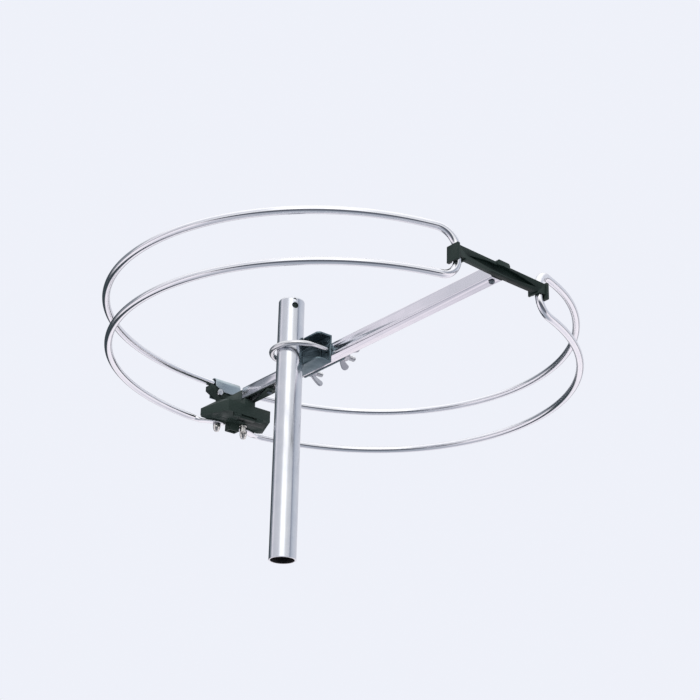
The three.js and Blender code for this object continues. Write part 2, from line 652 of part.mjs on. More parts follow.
function conductorStrap() {
  const shell = acrossBoom(saddleSection(STRAP.inner + STRAP.sheet, STRAP.low), STRAP.half);
  const hollow = acrossBoom(saddleSection(STRAP.inner, STRAP.low - 1), STRAP.half + 1);
  const holes = [-1, 1].map((side) => rod('x', 2.1, [side * STRAP.bolt, STRAP.boltZ], [-250, -215], 14));
  const { low, flat, shoulder } = FLAP;
  const below = [[-STRAP.half - 1, STRAP.low - 1], [STRAP.half + 1, STRAP.low - 1], [STRAP.half + 1, shoulder],
    [STRAP.half, shoulder], [flat, low], [-flat, low], [-STRAP.half, shoulder], [-STRAP.half - 1, shoulder]];
  return carve(shell, hollow, ...holes, carried(below, [STRAP.centre, STRAP.centre + 12]));
}

addTo(head, 'feed_box_body', feedBoxBody(), 'plastic');
addTo(head, 'feed_box_cover', feedBoxCover(), 'plastic');
addTo(head, 'cover_hinge_pin', rod('y', 0.7, [COVER.axisX, AXIS_Z], [-19.6, 19.6], 12), 'zinc');
const tongueSeat = TONGUE.top - TONGUE.thick - GAP;
addTo(head, 'tongue_screw', panScrew(SCREW.tongue, 0, -4, tongueSeat), 'darkZinc');
addTo(head, 'conductor_strap', conductorStrap(), 'zinc');

for (const [name, side] of [['near', -1], ['far', 1]]) {
  const y = side * STRAP.bolt;
  const z = STRAP.boltZ;
  const front = CRADLE.front + GAP;
  const back = STRAP.centre - STRAP.inner - STRAP.sheet - GAP;
  const shank = rod('x', 1.8, [y, z], [back - 4.2, front + 1], 12);
  const hexHead = rod('x', 4, [y, z], [front, front + 2.8], 6);
  addTo(head, `strap_bolt_${name}`, hexHead.add(shank), 'zinc');
  const nut = rod('x', 3.6, [y, z], [back - 2.8, back], 6);
  const thread = rod('x', 2, [y, z], [back - 4, back + 1], 12);
  addTo(head, `strap_nut_${name}`, carve(nut, thread), 'zinc');
}

// ---------------------------------------------------------------- feed terminals
for (const [name, side] of [['near', -1], ['far', 1]]) {
  const { x, bolt } = TERMINAL;
  const at = [x, side * TERMINAL.spread];
  const seat = BOX.floor + 5 + GAP;
  const under = FLAT.low - GAP;
  const stem = rod('z', bolt, at, [under - 6.6, seat + 1], 14);
  addTo(head, `terminal_bolt_${name}`, rod('z', 3.6, at, [seat, seat + 2.4], 6).add(stem), 'zinc');
  const washer = rod('z', 4.6, at, [under - 1, under], 24);
  const eye = rod('z', bolt + GAP, at, [under - 2, under + 1], 16);
  addTo(head, `terminal_washer_${name}`, carve(washer, eye), 'zinc');
  const base = under - 1 - GAP;
  const cap = [[0, -8.6], [1.6, -8.3], [2.9, -7.2], [3.6, -5.6], [4, -3.8], [4.3, -3.4], [4.3, 0], [0, 0]];
  const hollow = rod('z', bolt + 0.2, at, [base - 6.6, base + 1], 14);
  addTo(head, `terminal_nut_${name}`, carve(turned(cap, 'z', [...at, base], 18), hollow), 'nickel');
}

// ---------------------------------------------------------------- coax socket
// Flanged barrel through the floor, a lock nut inside, an insulating sleeve and a centre contact.
const socketAt = [SOCKET.x, SOCKET.y];

function coaxSocket() {
  const { radius } = SOCKET;
  const seat = BOX.floor - GAP;
  const barrel = [[0, -8.4], [radius - 0.4, -8.4], [radius, -8], [radius, -1.5], [radius + 0.8, -1.5],
    [radius + 0.8, 0], [radius, 0], [radius, 5], [0, 5]];
  return carve(turned(barrel, 'z', [...socketAt, seat], 24), rod('z', 2.6, socketAt, [seat - 9, seat + 6], 20));
}

function ring(outer, inner, at, [from, to], sides) {
  return carve(rod('z', outer, at, [from, to], sides), rod('z', inner, at, [from - 1, to + 1], 16));
}
const inside = BOX.floor + BOX_WALL + GAP;
addTo(head, 'coax_socket', coaxSocket(), 'nickel');
addTo(head, 'socket_lock_nut', ring(5.2, 3.9, socketAt, [inside, inside + 2], 6), 'nickel');
const sleeve = ring(2.3, 0.8, socketAt, [BOX.floor - 5.5, BOX.floor + 4], 16);
addTo(head, 'socket_insulator', sleeve, 'white');
addTo(head, 'socket_contact', rod('z', 0.5, socketAt, [BOX.floor - 4.5, BOX.floor + 5.4], 10), 'copper');

// ---------------------------------------------------------------- matching transformer
const postHoles = [-1, 1].map((side) => rod('z', 1.4, [BOARD.post, side * BOARD.postY], [-26, -20], 12));
const board = block(BOARD.x, [-BOARD.half, BOARD.half], [BOARD.low, BOARD.high]);
addTo(head, 'balun_board', carve(board, ...postHoles), 'board');
for (const [name, side] of [['near', -1], ['far', 1]]) {
  const at = [BOARD.post, side * BOARD.postY];
  const cheese = rod('z', 1.9, at, [BOARD.low - GAP - 1.3, BOARD.low - GAP], 14);
  const thread = rod('z', 0.8, at, [BOARD.low - 1, -17], 10);
  addTo(head, `board_screw_${name}`, cheese.add(thread), 'zinc');
}

const CORE = { x: [-198, -188.6], half: 6, low: BOARD.high + GAP, high: BOARD.high + 4.8 };
const coreMiddle = (CORE.low + CORE.high) / 2;
const coreHoles = [-3, 3].map((y) => rod('x', 1.1, [y, coreMiddle], [-210, -180], 12));
const core = block(CORE.x, [-CORE.half, CORE.half], [CORE.low, CORE.high]);
addTo(head, 'balun_core', carve(core, ...coreHoles), 'ferrite');

// A wire through a list of points.
const wire = (points, radius, fine) => bent(points.map((at) => new THREE.Vector3(...at)), radius, 5, fine);
const loop = [[-187.2, -3], [-193, -3], [-198.4, -3], [-199.7, -2], [-199.7, 2], [-198.4, 3], [-193, 3],
  [-187.2, 3]];
addTo(head, 'balun_winding', wire(loop.map(([x, y]) => [x, y, coreMiddle]), 0.6, 2), 'copper');
for (const [name, side] of [['near', -1], ['far', 1]]) {
  const start = [TERMINAL.x + 4.2, side * TERMINAL.spread, BOX.floor + 6.4];
  const end = [-199.6, side * 8, BOARD.high + 0.9];
  const rise = [-207, side * 15, -19.4];
  addTo(head, `feed_lead_${name}`, wire([start, rise, end], 0.6, 6), 'copper');
}

export default antenna;
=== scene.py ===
import json
import math

import bmesh
import bpy
from mathutils import Matrix, Vector

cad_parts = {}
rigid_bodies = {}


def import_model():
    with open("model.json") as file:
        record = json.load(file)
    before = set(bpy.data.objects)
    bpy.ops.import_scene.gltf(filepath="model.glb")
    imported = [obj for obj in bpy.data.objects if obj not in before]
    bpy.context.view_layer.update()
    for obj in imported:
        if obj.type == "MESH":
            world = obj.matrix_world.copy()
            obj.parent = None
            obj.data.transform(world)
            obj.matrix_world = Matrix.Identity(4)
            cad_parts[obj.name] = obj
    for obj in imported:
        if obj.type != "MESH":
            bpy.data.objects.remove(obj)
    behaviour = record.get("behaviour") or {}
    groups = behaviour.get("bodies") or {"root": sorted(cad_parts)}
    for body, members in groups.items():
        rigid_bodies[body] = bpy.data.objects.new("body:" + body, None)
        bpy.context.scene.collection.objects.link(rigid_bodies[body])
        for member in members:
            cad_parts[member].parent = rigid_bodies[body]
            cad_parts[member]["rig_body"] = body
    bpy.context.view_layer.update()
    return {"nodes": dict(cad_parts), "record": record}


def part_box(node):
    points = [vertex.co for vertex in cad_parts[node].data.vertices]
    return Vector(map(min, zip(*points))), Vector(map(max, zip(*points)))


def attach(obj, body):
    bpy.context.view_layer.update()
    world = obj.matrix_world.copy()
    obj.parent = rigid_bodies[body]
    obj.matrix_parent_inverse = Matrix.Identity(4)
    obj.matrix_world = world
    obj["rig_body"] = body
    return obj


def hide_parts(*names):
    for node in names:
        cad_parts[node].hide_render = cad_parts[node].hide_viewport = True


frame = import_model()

nodes = frame["nodes"]
MM = 0.001
HARD_EDGE = 28  # degrees; an edge sharper than this is rounded over

# ------------------------------------------------------------------ driving dimensions (mm, as in the part)
BOOM_LO, BOOM_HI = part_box("boom_tube")
MAST_TO_RING = 52.4
HEAD = Vector((MAST_TO_RING * MM, (BOOM_LO.y + BOOM_HI.y) / 2, (BOOM_LO.z + BOOM_HI.z) / 2))
MAST_X = -MAST_TO_RING
TUBE_RADIUS = 4.0
UPPER = {"mean": 250, "shift": 0.001, "oval": 0.057, "skew": 0.008, "square": 0.004, "z": 24.6, "bend": 22}
LOWER = {"mean": 246, "shift": 0.006, "oval": 0.046, "skew": 0.007, "square": 0.003, "z": -27.4, "bend": 19}
DENT = {"depth": 5.5, "angle": 35, "width": 45}
DROOP = {"depth": 3, "angle": 18, "width": 12}
PINCH = {"depth": 0.04, "angle": 0, "width": 30}
HAIRPIN = {"x": 230.5, "y": 55}
ROUND_END = 44
FLAT = {"low": -31.4, "high": -28.7, "half": 4.5, "tip": 13.5, "straight": 23}
FLAT_TURNS = ((-219.8, 30), (-224.4, 37))
TERMINAL = {"x": -217.3, "spread": 19, "bolt": 2.4}
MAST = {"radius": 14.3, "wall": 1.8, "length": 295, "lip": 3, "hole_angle": -20}
MAST_HOLES = ((0, 11, 3.6), (-3, 4.2, 1.9))  # degrees from hole_angle, depth below the top, radius
U_BOLT = {"radius": 3, "spread": 28.8, "bend_y": -27.1, "end": 29, "thread_from": -1, "pitch": 1.0}


def in_head(x, y, z):
    """A point measured in mm from the ring's centre on the boom axis, in the row frame."""
    return HEAD + Vector((x, y, z)) * MM


# ------------------------------------------------------------------ node materials
class Graph:
    """A small helper round a node tree."""

    def __init__(self, name):
        self.material = bpy.data.materials.new(name)
        self.material.use_nodes = True
        self.tree = self.material.node_tree
        self.shader = self.tree.nodes["Principled BSDF"]

    def node(self, kind, **values):
        made = self.tree.nodes.new(kind)
        for key, value in values.items():
            if hasattr(made, key):
                setattr(made, key, value)
            else:
                made.inputs[key.replace("_", " ")].default_value = value
        return made

    def link(self, out, into):
        self.tree.links.new(out, into)

    def coords(self, scale=(1, 1, 1)):
        mapping = self.node("ShaderNodeMapping")
        mapping.inputs["Scale"].default_value = scale
        self.link(self.node("ShaderNodeTexCoord").outputs["Object"], mapping.inputs["Vector"])
        return mapping.outputs["Vector"]

    def noise(self, scale, stretch=(1, 1, 1), detail=4):
        noise = self.node("ShaderNodeTexNoise", Scale=scale, Detail=detail, Roughness=0.6)
        self.link(self.coords(stretch), noise.inputs["Vector"])
        return noise.outputs["Fac"]

    def edges(self):
        """1 on worn convex edges, 0 elsewhere."""
        geometry = self.node("ShaderNodeNewGeometry")
        return self.span(geometry.outputs["Pointiness"], 0, 1, 0.52, 0.60)

    def span(self, value, low, high, start=0.3, stop=0.7):
        """value, stretched from [start, stop] to [low, high]."""
        node = self.node("ShaderNodeMapRange")
        for key, number in (("From Min", start), ("From Max", stop), ("To Min", low), ("To Max", high)):
            node.inputs[key].default_value = number
        self.link(value, node.inputs["Value"])
        return node.outputs["Result"]

    def mix(self, factor, first, second):
        """Colours first and second (sockets or tuples), mixed by factor."""
        node = self.node("ShaderNodeMix", data_type="RGBA")
        self.link(factor, node.inputs["Factor"])
        for socket, colour in ((node.inputs[6], first), (node.inputs[7], second)):
            if isinstance(colour, tuple):
                socket.default_value = (*colour, 1)
            else:
                self.link(colour, socket)
        return node.outputs[2]

    def add(self, first, second, weight):
        """first plus second times weight."""
        node = self.node("ShaderNodeMath", operation="MULTIPLY_ADD")
        self.link(second, node.inputs[0])
        node.inputs[1].default_value = weight
        self.link(first, node.inputs[2])
        return node.outputs[0]

    def bump(self, height, strength, distance):
        node = self.node("ShaderNodeBump")
        node.inputs["Strength"].default_value = strength
        node.inputs["Distance"].default_value = distance
        self.link(height, node.inputs["Height"])
        self.link(node.outputs["Normal"], self.shader.inputs["Normal"])

    def finish(self, colour, roughness, metallic):
        self.link(colour, self.shader.inputs["Base Color"])
        self.link(roughness, self.shader.inputs["Roughness"])
        self.shader.inputs["Metallic"].default_value = metallic
        return self.material


def metal(name, base, dull, rough, stretch=(1, 1, 1), grain=900, relief=0.12):
    """Drawn, plated or rolled metal: fine grain along one direction, broad dull blotches, small spots."""
    g = Graph(name)
    lines = g.noise(grain, stretch, 3)
    broad = g.noise(60, detail=5)
    spots = g.noise(620, detail=2)
    colour = g.mix(g.span(broad, 0, 1), base, dull)
    spotted = tuple(channel * 0.6 for channel in dull)
    colour = g.mix(g.span(spots, 0, 0.5, 0.68, 0.80), colour, spotted)
    roughness = g.add(g.span(lines, rough[0], rough[1]), g.span(broad, 0, 1), 0.06)
    g.bump(lines, relief, 0.00004)
    return g.finish(colour, roughness, 1.0)


def plastic(name, base, dusty, rough, worn=None, sheen=0.4):
    """Moulded plastic: pebbled skin, dust where it is broad and flat, paler along rubbed edges."""
    g = Graph(name)
    grain = g.noise(2600, detail=2)
    broad = g.noise(45, (1, 1, 1.6), 6)
    colour = g.mix(g.span(broad, 0, 1, 0.35, 0.75), base, dusty)
    if worn:
        colour = g.mix(g.edges(), colour, worn)
    g.bump(grain, 0.25, 0.00006)
    g.shader.inputs["Specular IOR Level"].default_value = sheen
    return g.finish(colour, g.span(broad, rough[0], rough[1]), 0.0)


MATERIALS = {
    "mast": metal("galvanised_tube", (0.78, 0.79, 0.82), (0.70, 0.72, 0.77), (0.12, 0.20), (1, 1, 0.02)),
    "boom": metal("satin_extrusion", (0.85, 0.83, 0.88), (0.80, 0.79, 0.84), (0.12, 0.17), (0.02, 1, 1),
                  relief=0.012),
    "dipole": metal("polished_tube", (0.92, 0.92, 0.95), (0.86, 0.87, 0.91), (0.08, 0.14), relief=0.06),
    "plastic": plastic("moulded_black", (0.0035, 0.0085, 0.0075), (0.009, 0.019, 0.016), (0.34, 0.5),
                       (0.022, 0.034, 0.030), 0.16),
    "bracket": metal("dark_zinc", (0.19, 0.25, 0.28), (0.12, 0.17, 0.19), (0.30, 0.48), grain=500),
    "u_bolt": metal("bright_zinc", (0.82, 0.82, 0.83), (0.70, 0.71, 0.73), (0.13, 0.26)),
    "wing_nut": metal("cast_zinc", (0.58, 0.58, 0.61), (0.45, 0.46, 0.50), (0.20, 0.32),
                      grain=1200, relief=0.3),
    "washer": metal("plated_washer", (0.70, 0.71, 0.73), (0.58, 0.59, 0.62), (0.22, 0.36)),
    "dark_screw": metal("dark_screw", (0.22, 0.25, 0.28), (0.12, 0.15, 0.17), (0.25, 0.42)),
    "zinc_fixings": metal("plated_fixing", (0.72, 0.73, 0.75), (0.60, 0.61, 0.64), (0.2, 0.36)),
    "strap": metal("strap_sheet", (0.47, 0.54, 0.58), (0.36, 0.43, 0.47), (0.22, 0.34)),
    "nickel": metal("nickel_plate", (0.84, 0.82, 0.78), (0.72, 0.70, 0.66), (0.12, 0.26)),
    "insulator": plastic("natural_insulator", (0.72, 0.71, 0.66), (0.62, 0.6, 0.55), (0.3, 0.5)),
    "copper": metal("bare_copper", (0.80, 0.42, 0.24), (0.55, 0.26, 0.15), (0.22, 0.42)),
    "board": plastic("board_laminate", (0.02, 0.11, 0.05), (0.03, 0.16, 0.07), (0.3, 0.45)),
    "ferrite": plastic("ferrite", (0.03, 0.03, 0.032), (0.06, 0.058, 0.055), (0.5, 0.7)),
}

# Near-black metal for the tube's bore: painted shade inside the tube.
SHADE_PAINTED_BORE = metal("tube_bore_painted_shade", (0.11, 0.11, 0.12), (0.07, 0.065, 0.06), (0.55, 0.75))

SLOT_OF = {part["node"]: part["material_slot"] for part in frame["record"]["subparts"]}
for name, slot_name in SLOT_OF.items():
    nodes[name].data.materials.clear()
    nodes[name].data.materials.append(MATERIALS[slot_name])


# ------------------------------------------------------------------ mesh helpers
def shade(mesh, smooth_below):
    """Smooth shading, with edges sharper than smooth_below degrees kept crisp."""
    for polygon in mesh.polygons:
        polygon.use_smooth = True
    mesh.set_sharp_from_angle(angle=math.radians(smooth_below))


def as_piece(name, bm, node, smooth_below):
    """Turns bm into a piece that stands for one CAD node and moves with its body."""
    bmesh.ops.recalc_face_normals(bm, faces=bm.faces)
    mesh = bpy.data.meshes.new(name)
    bm.to_mesh(mesh)
    bm.free()
    shade(mesh, smooth_below)
    piece = bpy.data.objects.new(name, mesh)
    bpy.context.scene.collection.objects.link(piece)
    mesh.materials.append(MATERIALS[SLOT_OF[node]])
    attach(piece, nodes[node]["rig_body"])
    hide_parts(node)
    return piece


def cut(piece, cutters):
    """Cuts closed meshes (each a bmesh) out of a piece, one after another."""
    for count, bm in enumerate(cutters):
        mesh = bpy.data.meshes.new(f"{piece.name}_cutter_{count}")
        bm.to_mesh(mesh)
        bm.free()
        tool = bpy.data.objects.new(mesh.name, mesh)
        bpy.context.scene.collection.objects.link(tool)
        boolean = piece.modifiers.new("cut", "BOOLEAN")
        boolean.operation = "DIFFERENCE"
        boolean.solver = "EXACT"
        boolean.object = tool
        bpy.context.view_layer.update()
        evaluated = piece.evaluated_get(bpy.context.evaluated_depsgraph_get())
        result = bpy.data.meshes.new_from_object(evaluated)
        piece.modifiers.clear()
        old = piece.data
        piece.data = result
        bpy.data.meshes.remove(old)
        bpy.data.objects.remove(tool)
        bpy.data.meshes.remove(mesh)


def rod(start, end, radius, sides=32):
    """A closed round bar between two points, as a bmesh."""
    bm = bmesh.new()
    axis = end - start
    turn = axis.to_track_quat("Z", "Y").to_matrix().to_4x4()
    place = Matrix.Translation((start + end) / 2) @ turn
    bmesh.ops.create_cone(
        bm, cap_ends=True, segments=sides, radius1=radius, radius2=radius, depth=axis.length, matrix=place
    )
    return bm


def join(bm, rings):
    """Joins each ring of vertices to the next with quads."""
    count = len(rings[0])
    for first, second in zip(rings, rings[1:]):
        for k in range(count):
            bm.faces.new((first[k], first[(k + 1) % count], second[(k + 1) % count], second[k]))


def sweep(route, section, sides):
    """Carries a section along a route (mm, head frame); section(step, angle) gives the offset (side, up)."""
    bm = bmesh.new()
    rings = []
    for step, at in enumerate(route):
        before = route[max(step - 1, 0)]
        after = route[min(step + 1, len(route) - 1)]
        along = (after - before).normalized()
        level = along.cross(Vector((0, 0, 1)))
        if step == 0:
            side = level
        if level.length > 0.5:
            side = level if level.dot(side) > 0 else -level
        side = (side - along * side.dot(along)).normalized()
        up = side.cross(along)
        ring = []
        for k in range(sides):
            across, rise = section(step, 2 * math.pi * k / sides)
            ring.append(bm.verts.new(in_head(*(at + side * across + up * rise))))
        rings.append(ring)
    join(bm, rings)
    bm.faces.new(rings[0][::-1])
    bm.faces.new(rings[-1])
    return bm


def lathe(profile, at, axis, sides=64):
    """Turns a closed loop of (radius, height) in mm about an axis (a unit vector) through a point."""
    bm = bmesh.new()
    turn = Vector(axis).to_track_quat("Z", "Y").to_matrix()
    rings = []
    for k in range(sides):
        angle = 2 * math.pi * k / sides
        ring = []
        for radius, height in profile:
            local = Vector((radius * math.cos(angle), radius * math.sin(angle), height)) * MM
            ring.append(bm.verts.new(at + turn @ local))
        rings.append(ring)
    join(bm, rings + rings[:1])
    return bm


def softened(name, node, width):
    """A CAD node's form with its flat faces merged and every hard edge rounded over."""
    bm = bmesh.new()
    bm.from_mesh(nodes[node].data)
    bmesh.ops.remove_doubles(bm, verts=bm.verts, dist=2e-6)
    bmesh.ops.dissolve_limit(bm, angle_limit=math.radians(1.5), verts=bm.verts, edges=bm.edges)
    piece = as_piece(name, bm, node, 180)
    bevel = piece.modifiers.new("rounding", "BEVEL")
    bevel.width = width * MM
    bevel.segments = 2
    bevel.limit_method = "ANGLE"
    bevel.angle_limit = math.radians(HARD_EDGE)
    bevel.use_clamp_overlap = True
    bevel.harden_normals = True
    return piece


# ------------------------------------------------------------------ folded dipole
def swell(shape, t):
    offset = math.degrees(math.atan2(math.sin(t), math.cos(t))) - shape["angle"]
    return shape["depth"] * math.exp(-((offset / shape["width"]) ** 2))


def ring_point(conductor, t):
    """A point of the ring's centre line; t is measured from the gap."""
    even = conductor["oval"] * math.cos(2 * t) + conductor["square"] * math.cos(4 * t)
    upper = 1 if conductor is UPPER else 0
    lobes = conductor["shift"] * math.cos(t) + conductor["skew"] * math.cos(3 * t)
    r = conductor["mean"] * (1 + lobes - even) - upper * swell(DENT, t)
    height = conductor["z"] * (1 - swell(PINCH, t)) - upper * swell(DROOP, t)
    return Vector((r * math.cos(t), r * math.sin(t), height))


def angle_at(conductor, y, near_gap):
    t = math.copysign(0.2, y) if near_gap else math.pi
    for _ in range(30):
        error = ring_point(conductor, t).y - y
        t += (-1 if near_gap else 1) * error / conductor["mean"]
    return t


def bend_start(conductor, side):
    return angle_at(conductor, side * (HAIRPIN["y"] + conductor["bend"]), True)


def arc(conductor, start, end, count):
    return [ring_point(conductor, start + (end - start) * k / count) for k in range(count + 1)]


def hairpin(side, fine=20):
    """Quarter bends, lower conductor first, that join the two conductors beside the gap."""
    points = []
    for conductor, sense in ((LOWER, 1), (UPPER, -1)):
        start = ring_point(conductor, bend_start(conductor, side))
        bend = []
        for step in range(1, fine + 1):
            turn = step / fine * math.pi / 2
            x = start.x + (HAIRPIN["x"] - start.x) * math.sin(turn)
            y = start.y - side * conductor["bend"] * math.sin(turn)
            bend.append(Vector((x, y, start.z + sense * conductor["bend"] * (1 - math.cos(turn)))))
        points += bend if sense > 0 else bend[::-1]
    return points


def flat_run(side, count=30):
    """Centre line of a flattened end, from its tip towards the round tube."""
    middle = (FLAT["low"] + FLAT["high"]) / 2
    start = ring_point(LOWER, angle_at(LOWER, side * ROUND_END, False))
    plan = ((TERMINAL["x"], FLAT["tip"] - FLAT["half"]), (TERMINAL["x"], FLAT["straight"]), *FLAT_TURNS)
    corners = [Vector((x, side * y, middle)) for x, y in plan] + [start]
    lengths = [(b - a).length for a, b in zip(corners, corners[1:])]
    total = sum(lengths)
    points = []
    for k in range(count):
        distance = total * k / count
        for a, b, length in zip(corners, corners[1:], lengths):
            if distance <= length:
                points.append(a.lerp(b, distance / length))
                break
            distance -= length
    for _ in range(4):
        eased = [(a + b * 2 + c) / 4 for a, b, c in zip(points, points[1:], points[2:])]
        points = [points[0], *eased, points[-1]]
    return points


def folded_dipole():
    left_end = flat_run(-1)
    right_end = flat_run(1)
    full = 2 * math.pi
    right = angle_at(LOWER, ROUND_END, False)
    left = angle_at(LOWER, -ROUND_END, False) - full
    body = arc(LOWER, right, bend_start(LOWER, 1), 120) + hairpin(1)
    body += arc(UPPER, bend_start(UPPER, 1), full + bend_start(UPPER, -1), 260)
    body += hairpin(-1)[::-1] + arc(LOWER, bend_start(LOWER, -1), left, 120)
    route = right_end + body + left_end[::-1]
    travelled = [0.0]
    for before, after in zip(route, route[1:]):
        travelled.append(travelled[-1] + (after - before).length)
    taper_from = travelled[len(right_end) - 10]
    taper_to = travelled[len(right_end) + 2]

    def section(step, angle):
        """Round tube that flattens over its last stretch and closes in a rounded tip."""
        from_end = min(travelled[step], travelled[-1] - travelled[step])
        share = min(max((from_end - taper_from) / (taper_to - taper_from), 0), 1)
        share = share * share * (3 - 2 * share)
        half = FLAT["half"]
        thick = (FLAT["high"] - FLAT["low"]) / 2
        if from_end < half:
            half = max(math.sqrt(half * half - (half - from_end) ** 2), 0.4)
        c, s = math.cos(angle), math.sin(angle)
        flat_across = half * math.copysign(abs(c) ** 0.55, c)
        flat_rise = thick * math.copysign(abs(s) ** 0.35, s)
        across = flat_across + (TUBE_RADIUS * c - flat_across) * share
        rise = flat_rise + (TUBE_RADIUS * s - flat_rise) * share
        return across, rise

    piece = as_piece("dipole_tube", sweep(route, section, 32), "folded_dipole", 60)
    bolt = TERMINAL["bolt"] + 0.3
    cut(piece, [
        rod(in_head(TERMINAL["x"], side * TERMINAL["spread"], -40),
            in_head(TERMINAL["x"], side * TERMINAL["spread"], -20), bolt * MM)
        for side in (-1, 1)
    ])
    shade(piece.data, 60)


folded_dipole()


# ------------------------------------------------------------------ mast
def mast():
    """Welded tube: rolled-over top edge, broken edges at the foot, two drilled holes."""
    radius, wall, length, lip = MAST["radius"], MAST["wall"], MAST["length"], MAST["lip"]
    inner = radius - wall
    profile = [(inner + 0.3, 0), (radius - 0.3, 0), (radius, 0.3), (radius, length / 2), (radius, length - lip)]
    for step in range(1, 13):
        turn = step / 12 * math.pi / 2 * 0.8
        profile.append((radius - lip * (1 - math.cos(turn)), length - lip + lip * math.sin(turn)))
    edge, crown = profile[-1]
    profile += [(edge - 0.5, crown - 0.05), (edge - 1.1, crown - 0.35), (edge - 1.4, crown - 0.9)]
    profile += [(inner, length - lip - 1), (inner, length / 2), (inner, 0.3)]
    piece = as_piece("mast_tube_turned", lathe(profile, Vector((0, 0, 0)), (0, 0, 1), 128), "mast_tube", 40)
    cutters = []
    for degrees, below, hole in MAST_HOLES:
        angle = math.radians(MAST["hole_angle"] + degrees)
        outwards = Vector((math.cos(angle), math.sin(angle), 0))
        up = Vector((0, 0, length - below)) * MM
        cutters.append(rod(up, up + outwards * 17 * MM, hole * MM, 40))
    cut(piece, cutters)
    piece.data.materials.append(SHADE_PAINTED_BORE)
    shade(piece.data, 40)
    # Faces inside the tube below the lip take the dark bore material, which is painted shade.
    for polygon in piece.data.polygons:
        inside = polygon.center.xy.length < (inner + 0.15) * MM
        polygon.material_index = 1 if inside and polygon.center.z < (length - lip) * MM else 0


mast()


# ------------------------------------------------------------------ u-bolt with rolled threads
def u_bolt():
    radius, spread, bend_y, end = (U_BOLT[key] for key in ("radius", "spread", "bend_y", "end"))
    pitch, thread_from = U_BOLT["pitch"], U_BOLT["thread_from"]
    leg = [end, end - 0.25, end - 0.5]
    while leg[-1] > thread_from:
        leg.append(leg[-1] - pitch / 8)
    leg += [thread_from - 8, thread_from - 17]
    route = [Vector((MAST_X + spread, y, 0)) for y in leg]
    for step in range(49):
        turn = step / 48 * math.pi
        route.append(Vector((MAST_X + spread * math.cos(turn), bend_y - spread * math.sin(turn), 0)))
    route += [Vector((MAST_X - spread, y, 0)) for y in reversed(leg)]

    def section(step, angle):
        """Rolled thread of about 60 degrees on both legs, with a chamfered end."""
        y = route[step].y
        r = radius
        if y > thread_from:
            hand = -1 if route[step].x > MAST_X else 1
            phase = (y / pitch + hand * angle / (2 * math.pi)) % 1
            cutting = min(1, (y - thread_from) / (2 * pitch))
            r = radius - 0.5 * cutting * abs(2 * phase - 1)
        r = min(r, radius - 0.7 + (end - y) * 1.2)
        return r * math.cos(angle), r * math.sin(angle)

    as_piece("u_bolt_threaded", sweep(route, section, 28), "u_bolt", 180)


u_bolt()


# ------------------------------------------------------------------ cast wing nuts
def wing_nut(which):
    node = f"wing_nut_{which}"
    bm = bmesh.new()
    bm.from_mesh(nodes[node].data)
    piece = as_piece(f"{node}_cast", bm, node, 180)
    remesh = piece.modifiers.new("skin", "REMESH")
    remesh.mode = "VOXEL"
    remesh.voxel_size = 0.35 * MM
    remesh.use_smooth_shade = True
    smooth = piece.modifiers.new("cast_edges", "CORRECTIVE_SMOOTH")
    smooth.factor = 0.5
    smooth.iterations = 6
    smooth.use_only_smooth = True


wing_nut("near")
wing_nut("far")

# ------------------------------------------------------------------ stamped washers
WASHER_PROFILE = [(3.4, 0.2), (3.6, 0), (5.9, 0), (6.2, 0.35), (6.2, 1.15), (5.9, 1.4), (3.6, 1.4), (3.4, 1.2)]


def washer(node):
    low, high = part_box(node)
    at = Vector(((low.x + high.x) / 2, low.y, (low.z + high.z) / 2))
    as_piece(f"{node}_stamped", lathe(WASHER_PROFILE, at, (0, 1, 0)), node, 30)


washer("washer_near")
washer("washer_far")

# ------------------------------------------------------------------ rounded edges elsewhere
ROUNDED = {
    "boom_tube": 0.15,
    "gap_insulator": 0.3,
    "toothed_bracket": 0.3,
    "backing_plate": 0.3,
    "feed_box_body": 0.3,
    "feed_box_cover": 0.25,
    "conductor_strap": 0.2,
    "insulator_screw": 0.15,
    "tongue_screw": 0.15,
    "strap_bolt_near": 0.25,
    "strap_bolt_far": 0.25,
    "strap_nut_near": 0.25,
    "strap_nut_far": 0.25,
    "terminal_nut_near": 0.15,
    "terminal_nut_far": 0.15,
    "coax_socket": 0.12,
}
for node, width in ROUNDED.items():
    softened(f"{node}_rounded", node, width)

# ------------------------------------------------------------------ camera
camera_data = bpy.data.cameras.new("camera")
camera = bpy.data.objects.new("camera", camera_data)
bpy.context.scene.collection.objects.link(camera)
bpy.context.scene.camera = camera
camera_data.lens = 74.5
camera_data.sensor_width = 36
camera_data.clip_start = 0.05
camera_data.clip_end = 50
look = Vector((-0.708, 0.572, 0.414)).normalized()
right = look.cross(Vector((0, 0, 1))).normalized()
up = right.cross(look)
roll = math.radians(1.03)
right_rolled = right * math.cos(roll) + up * math.sin(roll)
up_rolled = up * math.cos(roll) - right * math.sin(roll)
basis = Matrix((right_rolled, up_rolled, -look)).transposed()
camera.rotation_mode = "QUATERNION"
camera.rotation_quaternion = basis.to_quaternion()
camera.location = (1.1582, -0.8518, -0.4160)

# ------------------------------------------------------------------ studio light
scene = bpy.context.scene
scene.view_settings.view_transform = "Standard"

# Tones of the studio by bearing (degrees from +X), in a belt above the horizon.
BEARINGS = [
    (-180, (0.30, 0.32, 0.36)), (-151, (0.22, 0.25, 0.28)), (-143.8, (0.24, 0.28, 0.31)),
    (-142.2, (0.82, 0.80, 0.86)), (-134, (0.86, 0.84, 0.90)), (-115, (0.66, 0.67, 0.72)),
    (-70, (0.74, 0.75, 0.80)),
    (-58, (1.45, 1.45, 1.45)), (-28, (1.45, 1.45, 1.45)), (-16, (0.84, 0.85, 0.87)), (18, (0.70, 0.72, 0.77)),
    (27, (0.20, 0.22, 0.28)), (36, (0.52, 0.56, 0.64)), (60, (0.66, 0.69, 0.76)), (128, (0.72, 0.72, 0.78)),
    (141, (0.40, 0.41, 0.45)), (180, (0.30, 0.32, 0.36)),
]
